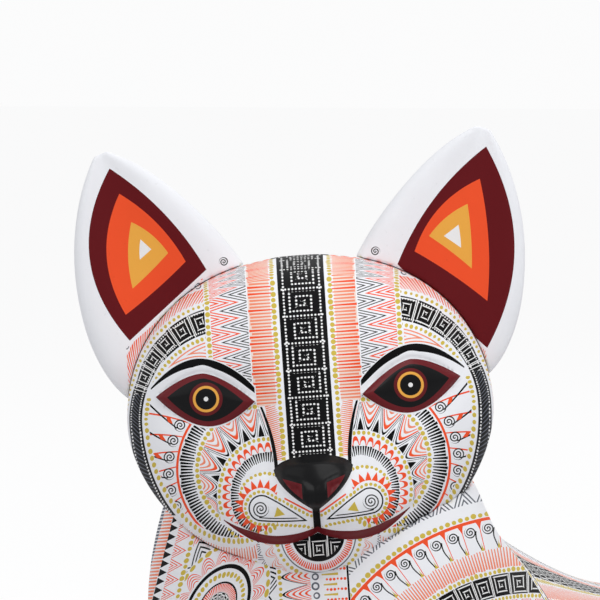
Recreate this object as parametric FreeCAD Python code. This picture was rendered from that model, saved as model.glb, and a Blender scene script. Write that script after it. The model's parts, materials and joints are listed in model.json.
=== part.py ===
"""Painted wooden feline, lying with its head raised and turned, built from carved blocks and dowels.

Frame, in millimetres: the figure rests on Z = 0 and +Z is up. It lies along Y with its paws towards
-Y, and +X is the figure's own left. The origin is on the flat underside of the trunk.
"""
import FreeCAD, Part

import math
import os

V = FreeCAD.Vector

# ---- driving dimensions, mm ----
# head, an egg-shaped block with the muzzle carved out of its front
HEAD_HALF_WIDTH = 75.0
HEAD_HALF_HEIGHT = 64.5
HEAD_HALF_DEPTH = 60.0
HEAD_SQUARENESS = 2.25          # 2 is a plain ellipsoid, more is boxier
JAW_SQUARENESS = 2.0            # the same for the half below the eyes
MUZZLE_HEIGHT = 15.0            # how far it stands forward of the egg
NOSE_HEIGHT = 5.0               # and the nose in front of that
HEAD_PLACE = V(4, -110, 205)    # the middle of the head block
HEAD_TURN = 38.0                # degrees to the figure's left
HEAD_LEAN = 4.0                 # degrees, left ear up
CROWN_TAPER = 0.05              # how much narrower the head is at its crown
JAW_TAPER = 0.05                # and at its jaw

# trunk, the chest's and the hips' half widths drive the stations below
CHEST_HALF_WIDTH = 80.0
HIP_HALF_WIDTH = 72.0
NECK_HALF_WIDTH = 68.0
BACK_HEIGHT = 127.0             # top of the back just behind the shoulders
UNDER_CUT = 8.0                 # stock left below the resting plane, which is planed off

# forelegs
FORELEG_OFFSET = 56.0           # middle of the forearm from the centre plane
FORELEG_HALF_WIDTH = 21.0
PAW_HALF_WIDTH = 25.0
FORELEG_REACH = 236.0           # tip of the paw in front of the origin
SHOULDER_HALF_SIZE = V(36, 44, 60)
SHOULDER_PLACE = V(55, -42, 66)
SHOULDER_TILT = -20.0           # degrees, top towards the rump

# hind legs
HAUNCH_HALF_SIZE = V(40, 64, 47)
HAUNCH_PLACE = V(57, 112, 50)
HAUNCH_TILT = 18.0              # degrees, knee down
HIND_FOOT_OFFSET = 87.0
HIND_FOOT_HALF_WIDTH = 22.0
HIND_FOOT_TIP = 16.0            # how far behind the origin the hind paw ends
HIND_FOOT_HEEL = 160.0

# ears
EAR_THICKNESS = 27.0            # at the root
EAR_SCOOP = 9.0                 # depth of the hollow in its front
EAR_SET_BACK = 7.0              # how far behind the head's middle the blade stands
EAR_PEG_RADIUS = 6.5
EAR_PEG_LENGTH = 24.0           # below the seat
EAR_PEG_ROOT = 5.0              # hidden inside the blade
EAR_PULL_ANGLE = 38.0           # degrees outwards from the head's own vertical
EAR_SEAT_SHARE = 0.73           # of the head's half width and half height, to the peg's mouth
EAR_SEAT_GAP = 0.3              # between the loose ear's seat and the head

# tail
TAIL_ROOT_RADIUS = 16.0
TAIL_TIP_RADIUS = 10.0
TAIL_PEG_RADIUS = 8.0
TAIL_PEG_LENGTH = 26.0
TAIL_ROOT = V(0, 196, 50)
TAIL_SEAT_GAP = 0.3

# glued joints
GLUE_LINE = 0.15                # between glued faces
PEG_FIT = 0.05                  # radial clearance of every peg and dowel in its hole
HOLE_END_GAP = 1.0              # air at the blind end of a hole
NECK_DOWEL_RADIUS = 6.0
NECK_DOWEL_LENGTH = 60.0
NECK_DOWEL_SPACING = 44.0
LEG_DOWEL_RADIUS = 4.0
LEG_DOWEL_LENGTH = 26.0
LEG_DOWEL_SPACING = 28.0

RING_POINTS = 44
BIG = 600.0
ORIGIN = V(0, 0, 0)


# ---- shapes shared by every block ----
def skin(rings):
    """A closed solid over rings of control points. The first and last rings lie in planes."""
    rows, around = len(rings), len(rings[0])
    face = Part.BSplineSurface()
    face.buildFromPolesMultsKnots(
        rings,
        [4] + [1] * (rows - 4) + [4], [1] * (around + 1),
        [float(k) for k in range(rows - 2)], [float(k) for k in range(around + 1)],
        False, True, 3, 3)
    side = face.toShape()
    caps = []
    for at in (0.0, float(rows - 3)):
        caps.append(Part.Face(Part.Wire([face.uIso(at).toShape()])))
    shell = Part.Shell([side] + caps)
    shell.sewShape()
    solid = Part.Solid(shell)
    if solid.Volume < 0:
        solid.reverse()
    return solid


def power(value, exponent):
    """value to a power, with its sign kept."""
    return math.copysign(abs(value) ** exponent, value)


def oval_ring(centre, across, up, half_across, half_up, squareness=2.3, count=RING_POINTS):
    """Control points round a superellipse with the given centre and two unit directions."""
    points = []
    for k in range(count):
        turn = 2 * math.pi * k / count
        a = half_across * power(math.cos(turn), 2 / squareness)
        b = half_up * power(math.sin(turn), 2 / squareness)
        points.append(centre + across * a + up * b)
    return points


def upright_ring(y, middle, half_width, low, high, squareness=2.4):
    """An oval ring in the plane of one Y."""
    centre = V(middle, y, (low + high) / 2)
    return oval_ring(centre, V(1, 0, 0), V(0, 0, 1), half_width, (high - low) / 2, squareness)


def egg(centre, half, tilt_back, rows=11):
    """An ellipsoid with its poles up and down, tilted in side view by so many degrees."""
    rings = []
    for k in range(rows):
        tilt = math.radians(-86 + 172 * k / (rows - 1))
        wide = math.cos(tilt) * 1.04
        height = V(0, 0, half.z * math.sin(tilt) * 1.01)
        rings.append(oval_ring(centre + height, V(1, 0, 0), V(0, 1, 0),
                               half.x * wide, half.y * wide, 2.0, 28))
    return skin(rings).rotate(centre, V(1, 0, 0), tilt_back)


def planed(solid):
    """The solid with everything below the resting plane cut away."""
    below = Part.makeBox(2 * BIG, 2 * BIG, BIG, V(-BIG, -BIG, -BIG))
    return one_solid(solid.cut(below))


def one_solid(shape):
    """The largest solid of a boolean's result."""
    return max(shape.Solids, key=lambda s: s.Volume)


def pin(start, direction, radius, length):
    return Part.makeCylinder(radius, length, start, direction)


def mirrored(shape):
    """The same shape on the figure's right."""
    return shape.mirror(ORIGIN, V(1, 0, 0))


# ---- head ----
def head_matrix():
    """Takes the head's own frame, with its face towards -Y, to its place on the neck."""
    matrix = FreeCAD.Matrix()
    matrix.rotateY(math.radians(-HEAD_LEAN))
    matrix.rotateZ(math.radians(HEAD_TURN))
    matrix.move(HEAD_PLACE)
    return matrix


def bump(x, z, at_x, at_z, reach_x, reach_z, height):
    """A smooth mound on the face."""
    return height * math.exp(-((x - at_x) / reach_x) ** 2 - ((z - at_z) / reach_z) ** 2)


def relief(x, z):
    """How far the face stands forward of the egg at this place, seen from the front."""
    side = abs(x)
    spread = (side / 40) ** 2 + ((z + 34) / 29) ** 2
    height = MUZZLE_HEIGHT * math.exp(-spread ** 1.3)
    height += bump(side, z, 21, -38, 16, 14, 3)         # whisker pads
    height += bump(side, z, 0, 8, 17, 42, 6)            # bridge of the nose
    height += bump(side, z, 0, -26, 17, 12, NOSE_HEIGHT)
    height += bump(side, z, 0, -57, 22, 9, 4)           # chin
    height -= bump(side, z, 41, 7, 20, 13, 4)           # eye socket
    height += bump(side, z, 41, 28, 26, 9, 2)           # brow
    return height


def head_block(extra=0.0):
    """The head in its own frame. extra makes every half size that much larger, for seats."""
    wide, tall = HEAD_HALF_WIDTH + extra, HEAD_HALF_HEIGHT + extra
    deep = HEAD_HALF_DEPTH + extra
    rows, around = 21, 52
    rings = []
    for row in range(rows):
        tilt = math.radians(-84 + 168 * row / (rows - 1))
        below = tilt < 0
        squareness = JAW_SQUARENESS if below else HEAD_SQUARENESS
        height = tall * power(math.sin(tilt), 2 / squareness) * 1.01
        share = power(math.cos(tilt), 2 / squareness) * 1.015
        narrow = 1 - (JAW_TAPER if below else CROWN_TAPER) * abs(height) / tall
        ring = []
        for k in range(around):
            step = 2 * math.pi * k / around
            turn = step - 0.4 * math.sin(step)          # closer together over the face
            x = wide * share * narrow * power(math.sin(turn), 2 / HEAD_SQUARENESS)
            y = -deep * share * power(math.cos(turn), 2 / HEAD_SQUARENESS)
            front = max(0.0, math.cos(turn)) * share
            ring.append(V(x, y - relief(x, height) * min(1.0, 1.6 * front), height))
        rings.append(ring)
    return skin(rings)


# ---- trunk and neck ----
def trunk_block(extra=0.0):
    """One block from rump to neck. Each station has its top and bottom point and half width."""
    stations = [
        # top y, top z, bottom y, bottom z, half width
        (199, 0.47 * BACK_HEIGHT, 199, 28, 0.20 * HIP_HALF_WIDTH),
        (198, 0.55 * BACK_HEIGHT, 198, 14, 0.50 * HIP_HALF_WIDTH),
        (190, 0.65 * BACK_HEIGHT, 192, -UNDER_CUT, 0.80 * HIP_HALF_WIDTH),
        (166, 0.72 * BACK_HEIGHT, 168, -UNDER_CUT, 0.95 * HIP_HALF_WIDTH),
        (122, 0.78 * BACK_HEIGHT, 125, -UNDER_CUT, HIP_HALF_WIDTH),
        (74, 0.88 * BACK_HEIGHT, 75, -UNDER_CUT, 0.97 * HIP_HALF_WIDTH),
        (34, BACK_HEIGHT, 25, -UNDER_CUT, 0.90 * CHEST_HALF_WIDTH),
        (0, 1.12 * BACK_HEIGHT, -40, -UNDER_CUT, 0.98 * CHEST_HALF_WIDTH),
        (-22, 1.21 * BACK_HEIGHT, -100, -UNDER_CUT, 1.02 * CHEST_HALF_WIDTH),
        (-38, 1.31 * BACK_HEIGHT, -142, 42, CHEST_HALF_WIDTH),
        (-48, 1.41 * BACK_HEIGHT, -159, 100, 0.96 * CHEST_HALF_WIDTH),
        (-54, 1.50 * BACK_HEIGHT, -155, 145, 1.03 * NECK_HALF_WIDTH),
        (-66, 1.60 * BACK_HEIGHT, -146, 180, 0.86 * NECK_HALF_WIDTH),
        (-84, 1.66 * BACK_HEIGHT, -128, 200, 0.42 * NECK_HALF_WIDTH),
    ]
    rings = []
    for top_y, top_z, low_y, low_z, half_width in stations:
        grow = math.copysign(extra, top_y)
        top, low = V(0, top_y + grow, top_z), V(0, low_y + grow, low_z)
        up = (top - low).normalize()
        rings.append(oval_ring((top + low) * 0.5, V(1, 0, 0), up,
                               half_width + extra, top.distanceToPoint(low) / 2 + extra))
    return skin(rings)


# ---- legs, made on the figure's left ----
def foreleg_block():
    """Shoulder and forearm in one piece, before it is fitted to the trunk."""
    paw, arm = PAW_HALF_WIDTH, FORELEG_HALF_WIDTH
    middle, tip = FORELEG_OFFSET, -FORELEG_REACH
    rings = [
        upright_ring(14, middle + 8, 0.4 * arm, 10, 34),
        upright_ring(12, middle + 8, 0.9 * arm, 2, 50),
        upright_ring(0, middle + 9, 1.25 * arm, -UNDER_CUT, 68),
        upright_ring(-30, middle + 9, 1.3 * arm, -UNDER_CUT, 74),
        upright_ring(-70, middle + 6, 1.2 * arm, -UNDER_CUT, 58),
        upright_ring(-110, middle + 2, 1.05 * arm, -UNDER_CUT, 46),
        upright_ring(-150, middle, 0.95 * arm, -UNDER_CUT, 37),
        upright_ring(tip + 50, middle - 1, 0.95 * arm, -UNDER_CUT, 33),
        upright_ring(tip + 32, middle - 1, paw, -UNDER_CUT, 36),
        upright_ring(tip + 14, middle - 1, paw * 1.03, -UNDER_CUT, 34),
        upright_ring(tip + 2, middle - 1, paw * 0.85, -UNDER_CUT + 2, 25),
        upright_ring(tip, middle - 1, paw * 0.4, 4, 15),
    ]
    return skin(rings).fuse(egg(SHOULDER_PLACE, SHOULDER_HALF_SIZE, SHOULDER_TILT))


def hindleg_block():
    """Haunch and hind foot in one piece, before it is fitted to the trunk."""
    foot, middle = HIND_FOOT_HALF_WIDTH, HIND_FOOT_OFFSET
    heel, tip = HIND_FOOT_HEEL, HIND_FOOT_TIP
    rings = [
        upright_ring(heel, middle - 10, 0.35 * foot, 6, 20),
        upright_ring(heel - 2, middle - 10, 0.75 * foot, -2, 32),
        upright_ring(heel - 20, middle - 8, 0.9 * foot, -UNDER_CUT, 36),
        upright_ring(heel - 60, middle - 3, 0.85 * foot, -UNDER_CUT, 30),
        upright_ring(tip + 46, middle, 0.9 * foot, -UNDER_CUT, 28),
        upright_ring(tip + 28, middle, 1.08 * foot, -UNDER_CUT, 31),
        upright_ring(tip + 12, middle, 1.1 * foot, -UNDER_CUT, 29),
        upright_ring(tip + 2, middle, 0.85 * foot, -UNDER_CUT + 2, 22),
        upright_ring(tip, middle, 0.4 * foot, 4, 13),
    ]
    return skin(rings).fuse(egg(HAUNCH_PLACE, HAUNCH_HALF_SIZE, HAUNCH_TILT))


# ---- ears, made on the figure's left in the head's own frame ----
def ear_blade():
    """The scooped blade. Each station has its inner and outer edge (x, z) and thickness share."""
    stations = [
        (14, 45, 60, 2, 1.04),
        (19, 56, 75, 7, 1.02),
        (26, 68, 87, 24, 0.97),
        (35, 80, 92.5, 46, 0.88),
        (46, 92, 94, 67, 0.76),
        (58, 103, 91.5, 87, 0.60),
        (69, 110, 87, 101.5, 0.42),
        (76.5, 113, 82, 111, 0.22),
    ]
    rings = []
    for in_x, in_z, out_x, out_z, share in stations:
        inner, outer = V(in_x, 0, in_z), V(out_x, 0, out_z)
        middle, half = (inner + outer) * 0.5, inner.distanceToPoint(outer) / 2
        across = (outer - inner).normalize()
        thick = EAR_THICKNESS / 2 * share
        ring = []
        for k in range(36):
            turn = 2 * math.pi * k / 36
            side = power(math.cos(turn), 0.8)
            depth = thick * power(math.sin(turn), 0.8)
            if depth < 0:
                rise = min(1.0, 0.25 + 0.3 * len(rings))
                depth += EAR_SCOOP * share * rise * (1 - side * side) ** 1.5
            back = EAR_SET_BACK + 0.05 * (middle.z - 30)
            ring.append(middle + across * (half * side) + V(0, depth + back, 0))
        rings.append(ring)
    return skin(rings)


def ear_axis(side):
    """The way an ear pulls out, in the head's own frame. side is 1 on the left, -1 on the right."""
    angle = math.radians(EAR_PULL_ANGLE)
    return V(side * math.sin(angle), 0, math.cos(angle))


def ear_seat(side):
    """Where the peg's axis leaves the head, in the head's own frame."""
    up = EAR_SEAT_SHARE
    return V(side * up * HEAD_HALF_WIDTH, EAR_SET_BACK + 3.0, up * HEAD_HALF_HEIGHT)


def ear_piece(side):
    blade = ear_blade() if side > 0 else mirrored(ear_blade())
    blade = one_solid(blade.cut(head_block(EAR_SEAT_GAP)))
    axis = ear_axis(side)
    peg = pin(ear_seat(side) - axis * EAR_PEG_LENGTH, axis, EAR_PEG_RADIUS, EAR_PEG_LENGTH + EAR_PEG_ROOT)
    return one_solid(blade.fuse(peg))


def ear_hole(side):
    axis = ear_axis(side)
    depth = EAR_PEG_LENGTH + HOLE_END_GAP
    return pin(ear_seat(side) - axis * depth, axis, EAR_PEG_RADIUS + PEG_FIT, depth + 30)


# ---- tail ----
def tail_blade():
    """A round tail that leaves the rump, drops to the ground and curls towards the left."""
    route = Part.BSplineCurve()
    route.interpolate([
        TAIL_ROOT + V(0, -6, 0), TAIL_ROOT + V(0, 14, -2), TAIL_ROOT + V(4, 38, -20),
        TAIL_ROOT + V(22, 56, -35), TAIL_ROOT + V(58, 62, -40), TAIL_ROOT + V(98, 46, -41),
        TAIL_ROOT + V(124, 14, -40), TAIL_ROOT + V(136, -22, -38), TAIL_ROOT + V(142, -50, -29),
    ])
    rings, steps = [], 24
    first, last = route.FirstParameter, route.LastParameter
    for k in range(steps + 1):
        at = first + (last - first) * k / steps
        along = route.tangent(at)[0]
        across = along.cross(V(0, 0, 1)).normalize()
        radius = TAIL_ROOT_RADIUS + (TAIL_TIP_RADIUS - TAIL_ROOT_RADIUS) * min(1.0, 1.4 * k / steps)
        if k == steps:
            radius *= 0.45
        elif k == steps - 1:
            radius *= 0.9
        rings.append(oval_ring(route.value(at), across, across.cross(along), radius, radius, 2.0, 24))
    return skin(rings)


def tail_peg(radius, length, ahead):
    """A round peg along -Y from the rump, for the tail's tenon and for its hole."""
    return pin(TAIL_ROOT + V(0, ahead, 0), V(0, -1, 0), radius, length + ahead)


# ---- dowels ----
def neck_axis():
    """Along the neck, from the trunk up into the head."""
    return V(0, -0.30, 1.0).normalize()


def neck_dowel_start(side):
    middle = V(0, -102, 178) + V(side * NECK_DOWEL_SPACING / 2, 0, 0)
    return middle - neck_axis() * (NECK_DOWEL_LENGTH / 2)


def leg_dowel_starts(place):
    """Where a leg's two level dowels start, inside the trunk. place is on the glued face."""
    offset = V(0, LEG_DOWEL_SPACING / 2, 0)
    start = place - V(LEG_DOWEL_LENGTH / 2, 0, 0)
    return [start - offset, start + offset]


FORELEG_JOINT = V(CHEST_HALF_WIDTH - 9, SHOULDER_PLACE.y + 6, SHOULDER_PLACE.z - 34)
HINDLEG_JOINT = V(HIP_HALF_WIDTH + 2, HAUNCH_PLACE.y, HAUNCH_PLACE.z - 2)


def leg_pins(place, radius, spare):
    """A leg's two dowels, or with spare the holes for them."""
    pins = []
    for start in leg_dowel_starts(place):
        pins.append(pin(start - V(spare, 0, 0), V(1, 0, 0), radius, LEG_DOWEL_LENGTH + 2 * spare))
    return pins


def neck_pins(radius, spare):
    """The two neck dowels, or with spare the holes for them."""
    axis, pins = neck_axis(), []
    for side in (-1, 1):
        start = neck_dowel_start(side) - axis * spare
        pins.append(pin(start, axis, radius, NECK_DOWEL_LENGTH + 2 * spare))
    return pins


def bored(solid, holes):
    for hole in holes:
        solid = solid.cut(hole)
    return one_solid(solid)


# ---- the assembly ----
def build():
    place_head = head_matrix()
    head_holes = [ear_hole(1), ear_hole(-1)]
    head = bored(head_block(), head_holes).transformed(place_head)
    head = bored(head, neck_pins(NECK_DOWEL_RADIUS + PEG_FIT, HOLE_END_GAP))

    trunk = planed(trunk_block())
    head_seat = head_block(GLUE_LINE).transformed(place_head)
    trunk = one_solid(trunk.cut(head_seat))
    trunk_seat = trunk_block(GLUE_LINE)
    trunk = bored(trunk, neck_pins(NECK_DOWEL_RADIUS + PEG_FIT, HOLE_END_GAP))
    trunk = bored(trunk, [tail_peg(TAIL_PEG_RADIUS + PEG_FIT, TAIL_PEG_LENGTH + HOLE_END_GAP, 10)])

    parts = {"head": head}
    legs = {"foreleg": (foreleg_block(), FORELEG_JOINT), "hindleg": (hindleg_block(), HINDLEG_JOINT)}
    for name, (block, joint) in legs.items():
        leg = one_solid(planed(block).cut(trunk_seat))
        holes = leg_pins(joint, LEG_DOWEL_RADIUS + PEG_FIT, HOLE_END_GAP)
        leg = bored(leg, holes)
        trunk = bored(trunk, holes + [mirrored(hole) for hole in holes])
        dowels = Part.Compound(leg_pins(joint, LEG_DOWEL_RADIUS, 0))
        parts[name + "_left"], parts[name + "_right"] = leg, mirrored(leg)
        parts[name + "_dowels_left"], parts[name + "_dowels_right"] = dowels, mirrored(dowels)
    parts["trunk"] = trunk

    for name, side in (("left", 1), ("right", -1)):
        parts["ear_" + name] = ear_piece(side).transformed(place_head)
    parts["neck_dowels"] = Part.Compound(neck_pins(NECK_DOWEL_RADIUS, 0))

    tail = one_solid(planed(tail_blade()).cut(trunk_block(TAIL_SEAT_GAP)))
    parts["tail"] = one_solid(tail.fuse(tail_peg(TAIL_PEG_RADIUS, TAIL_PEG_LENGTH, 12)))
    return parts


def write(parts):
    os.makedirs("parts", exist_ok=True)
    for name, shape in sorted(parts.items()):
        print(f"{name:22s} valid {shape.isValid()} solids {len(shape.Solids)}",
              f"volume {shape.Volume / 1000:.1f} cm3")
        shape.exportStep(f"parts/{name}.step")


write(build())
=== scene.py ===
# %% [markdown]
# # A painted wooden feline
# The real figure is carved from blocks of soft copal wood, glued on dowels, sanded, given a white ground
# and then painted with thousands of small strokes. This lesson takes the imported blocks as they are,
# carves the fine relief into copies of them, and lays the paint on with formulas. The frame comes first,
# because every piece rides on one of its bodies.

import json
import math
from functools import partial

import bpy
import numpy as np
from mathutils import Matrix, Vector


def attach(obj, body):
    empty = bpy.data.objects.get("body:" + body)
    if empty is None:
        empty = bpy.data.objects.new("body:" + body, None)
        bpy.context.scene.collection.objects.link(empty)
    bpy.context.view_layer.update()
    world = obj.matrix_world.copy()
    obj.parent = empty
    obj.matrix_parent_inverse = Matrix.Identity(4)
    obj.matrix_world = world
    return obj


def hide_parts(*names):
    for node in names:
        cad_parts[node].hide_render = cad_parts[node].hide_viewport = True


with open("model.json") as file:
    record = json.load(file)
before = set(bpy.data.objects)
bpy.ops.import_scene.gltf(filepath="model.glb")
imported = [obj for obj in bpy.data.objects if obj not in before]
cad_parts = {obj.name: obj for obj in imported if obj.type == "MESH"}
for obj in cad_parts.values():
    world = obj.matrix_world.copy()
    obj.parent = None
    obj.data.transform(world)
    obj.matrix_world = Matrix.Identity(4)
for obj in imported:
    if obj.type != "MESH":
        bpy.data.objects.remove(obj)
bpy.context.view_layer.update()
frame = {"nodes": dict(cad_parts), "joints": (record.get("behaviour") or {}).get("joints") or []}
MM = 0.001

# %% [markdown]
# ## Where the head looks
# The head is turned to the figure's left and leans a little, so its carving and its paint need axes of
# their own. The two ears pull off along axes that are mirror images in the head, so their difference
# is the head's sideways axis and their sum is its upright axis. The middle of the head's block comes from
# measuring it along those axes.

# %% The head's own axes
def pull_axis(joint_name):
    """The way a push-fit piece comes off."""
    return next(Vector(j["axis"]) for j in frame["joints"] if j["name"] == joint_name)


head_side = (pull_axis("ear_left_pull") - pull_axis("ear_right_pull")).normalized()
head_up = (pull_axis("ear_left_pull") + pull_axis("ear_right_pull")).normalized()
head_back = head_up.cross(head_side).normalized()
HEAD_HALF_DEPTH = 60 * MM


def mesh_points(mesh):
    """A mesh's vertices as rows of x, y, z."""
    points = np.empty(len(mesh.vertices) * 3)
    mesh.vertices.foreach_get("co", points)
    return points.reshape(-1, 3)


def middle_along(points, axis):
    """Half way between the lowest and highest point along an axis."""
    reach = points @ np.array(axis)
    return (reach.min() + reach.max()) / 2


head_points = mesh_points(frame["nodes"]["head"].data)
head_centre = (head_side * middle_along(head_points, head_side)
               + head_up * middle_along(head_points, head_up)
               + head_back * ((head_points @ np.array(head_back)).max() - HEAD_HALF_DEPTH))
print("head centre, mm:", [round(c / MM, 1) for c in head_centre])

# %% [markdown]
# ## Camera and light
# A figure like this is shown from eye level with a long lens, close to square on to the face. The light is
# plain: a large soft lamp high on the right, weaker ones on the left and behind, and a bright room around
# them. The camera sees the room as a white wall, brighter than the light the room gives.

# %% Camera
VIEW_TURN = math.radians(38)
VIEW_RISE = math.radians(4.5)
VIEW_DISTANCE = 1.1
LENS, SENSOR = 160, 36                          # both in millimetres
AIM_RIGHT, AIM_UP = -4.3 * MM, 46.4 * MM        # from the middle of the head

view_back = Vector((math.sin(VIEW_TURN) * math.cos(VIEW_RISE),
                    -math.cos(VIEW_TURN) * math.cos(VIEW_RISE), math.sin(VIEW_RISE)))
view_right = Vector((math.cos(VIEW_TURN), math.sin(VIEW_TURN), 0))
view_up = view_back.cross(view_right)

camera_data = bpy.data.cameras.new("camera")
camera_data.lens, camera_data.sensor_width = LENS, SENSOR
camera = bpy.data.objects.new("camera", camera_data)
bpy.context.collection.objects.link(camera)
camera.location = head_centre + view_back * VIEW_DISTANCE + view_right * AIM_RIGHT + view_up * AIM_UP
camera.rotation_euler = Matrix((view_right, view_up, view_back)).transposed().to_euler()
bpy.context.scene.camera = camera
bpy.context.scene.view_settings.view_transform = "Standard"
print("camera at", [round(c, 3) for c in camera.location])


# %% Lamps and room
def soft_lamp(name, right, up, forward, size, watts):
    """A large square lamp, placed from the head by the camera's directions and aimed at the head."""
    data = bpy.data.lights.new(name, "AREA")
    data.size, data.energy = size, watts
    lamp = bpy.data.objects.new(name, data)
    bpy.context.collection.objects.link(lamp)
    offset = view_right * right + view_up * up + view_back * forward
    lamp.location = head_centre + offset
    lamp.rotation_mode = "QUATERNION"
    lamp.rotation_quaternion = offset.to_track_quat("Z", "Y")


soft_lamp("key lamp", right=0.7, up=1.3, forward=1.0, size=1.4, watts=15)
soft_lamp("fill lamp", right=-1.5, up=0.7, forward=0.8, size=1.6, watts=5)
soft_lamp("back lamp", right=0.4, up=1.5, forward=-1.2, size=1.4, watts=6)
COOL_WHITE = (0.97, 0.975, 0.985, 1)
WALL_WHITE = (0.97, 0.97, 0.972, 1)
ROOM_BRIGHTNESS = 0.66
room = bpy.data.worlds.new("room")
room.use_nodes = True
room_light = room.node_tree.nodes["Background"]
room_light.inputs["Color"].default_value = COOL_WHITE
room_light.inputs["Strength"].default_value = ROOM_BRIGHTNESS
room_wall = room.node_tree.nodes.new("ShaderNodeBackground")
room_wall.inputs["Color"].default_value = WALL_WHITE
seen = room.node_tree.nodes.new("ShaderNodeLightPath")
choice = room.node_tree.nodes.new("ShaderNodeMixShader")
room.node_tree.links.new(seen.outputs["Is Camera Ray"], choice.inputs["Fac"])
room.node_tree.links.new(room_light.outputs["Background"], choice.inputs[1])
room.node_tree.links.new(room_wall.outputs["Background"], choice.inputs[2])
room.node_tree.links.new(choice.outputs["Shader"], room.node_tree.nodes["World Output"].inputs["Surface"])
bpy.context.scene.world = room
print("lamps:", [light.name for light in bpy.data.lights])

# %% [markdown]
# ## Numbers that change over a surface
# Painted strokes are all small sums: how far along a row, how far across it, and is that inside the dot?
# Blender works such sums out with Math nodes. Wiring hundreds of them by hand hides the idea, so a Field
# stands for one output socket, and plus, times or less-than between Fields makes the Math node.
# The same formula then also works on plain arrays, which is how an eyelid can be carved and painted
# with one shape.

# %% Fields
class Field:
    """A number that changes over the surface: one output socket of a node tree."""

    def __init__(self, tree, socket):
        self.tree, self.socket = tree, socket

    def math(self, operation, *others):
        return compute(self.tree, operation, self, *others)

    def __neg__(self):
        return self.math("MULTIPLY", -1)

    def __invert__(self):
        return compute(self.tree, "SUBTRACT", 1, self)


def compute(tree, operation, *values):
    """One Math node, fed with Fields or plain numbers."""
    node = tree.nodes.new("ShaderNodeMath")
    node.operation = operation
    for slot, value in zip(node.inputs, values):
        if isinstance(value, Field):
            tree.links.new(value.socket, slot)
        else:
            slot.default_value = value
    return Field(tree, node.outputs[0])


def let_sign_make(sign, operation, swapped=False):
    """Lets a Python sign between a Field and another value make a Math node."""
    def method(field, *others):
        values = (*others, field) if swapped else (field, *others)
        return compute(field.tree, operation, *values)
    setattr(Field, "__" + sign + "__", method)


# Masks are 0 or 1, so times means and, and the larger means or.
for sign, operation in (
        ("add", "ADD"), ("radd", "ADD"), ("sub", "SUBTRACT"), ("mul", "MULTIPLY"), ("rmul", "MULTIPLY"),
        ("truediv", "DIVIDE"), ("pow", "POWER"), ("abs", "ABSOLUTE"), ("lt", "LESS_THAN"),
        ("gt", "GREATER_THAN"), ("and", "MULTIPLY"), ("or", "MAXIMUM")):
    let_sign_make(sign, operation)
let_sign_make("rsub", "SUBTRACT", swapped=True)
let_sign_make("rtruediv", "DIVIDE", swapped=True)


def larger(a, b):
    """The larger of two numbers, on Fields or arrays."""
    return a.math("MAXIMUM", b) if isinstance(a, Field) else np.maximum(a, b)


def smaller(a, b):
    """The smaller of two numbers, on Fields or arrays."""
    return a.math("MINIMUM", b) if isinstance(a, Field) else np.minimum(a, b)


def rise(a, low, high):
    """0 below low, 1 above high, and a straight ramp between."""
    return smaller(larger((a - low) * (1 / (high - low)), 0.0), 1.0)


def distance(a, b):
    """The length of the direction (a, b)."""
    return (a * a + b * b) ** 0.5


def turn(a, b):
    """The angle of the direction (a, b) in whole turns, 0 to 1, starting at -b."""
    return a.math("ARCTAN2", b) * (0.5 / math.pi) + 0.5


def fraction(a):
    """What a number has over the whole number below it."""
    return a - a.math("FLOOR")


def from_middle_of_step(along, pitch):
    """Millimetres from the middle of the step that a place falls in."""
    return (fraction(along / pitch) - 0.5) * pitch


def chance(a):
    """A fixed random number from 0 to 1 for each whole number."""
    node = a.tree.nodes.new("ShaderNodeTexWhiteNoise")
    node.noise_dimensions = "1D"
    a.tree.links.new(a.socket, node.inputs["W"])
    return Field(a.tree, node.outputs["Value"])


print("rise of 0, 0.5 and 2 from 0 to 1:", rise(np.array([0.0, 0.5, 2.0]), 0.0, 1.0))

# %% [markdown]
# ## Motifs
# The painter builds every pattern from a few strokes: rows of dots, hatching, nested petals or chevrons,
# curls and stepped frets. Each is a node group with named inputs, made once, and a function that places it
# in any material with its own sizes. Lengths are in millimetres. Along runs with the row and Across runs
# over it.

# %% Making and placing a motif
def new_group(name, inputs, outputs, input_kind="NodeSocketFloat"):
    """An empty node group with named sockets, and its two end nodes."""
    group = bpy.data.node_groups.new(name, "ShaderNodeTree")
    for label in inputs:
        group.interface.new_socket(label, in_out="INPUT", socket_type=input_kind)
    for label in outputs:
        group.interface.new_socket(label, in_out="OUTPUT", socket_type="NodeSocketFloat")
    return group, group.nodes.new("NodeGroupInput"), group.nodes.new("NodeGroupOutput")


def motif(name, inputs, rule):
    """A function that places a node group, whose output, Mask, is rule(...) of its named inputs."""
    group, start, end = new_group(name, inputs, ("Mask",))
    fields = [Field(group, start.outputs[label]) for label in inputs]
    group.links.new(rule(*fields).socket, end.inputs["Mask"])
    return partial(place, group)


def place(group, *values):
    """A motif's mask, with its inputs wired or set in order."""
    tree = next(value.tree for value in values if isinstance(value, Field))
    node = tree.nodes.new("ShaderNodeGroup")
    node.node_tree = group
    for slot, value in zip(node.inputs, values):
        if isinstance(value, Field):
            tree.links.new(value.socket, slot)
        else:
            slot.default_value = value
    return Field(tree, node.outputs["Mask"])


# %% Dots and hatching
def dot_rule(along, across, pitch, radius):
    """Round dots in a row. A brush leaves each a slightly different size and place."""
    steps = along / pitch
    number = steps.math("FLOOR")
    luck = chance(number)
    off_centre = (steps - number - 0.5) * pitch
    return distance(off_centre, across + (luck - 0.5) * radius * 0.3) < radius * (luck * 0.3 + 0.82)


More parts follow.
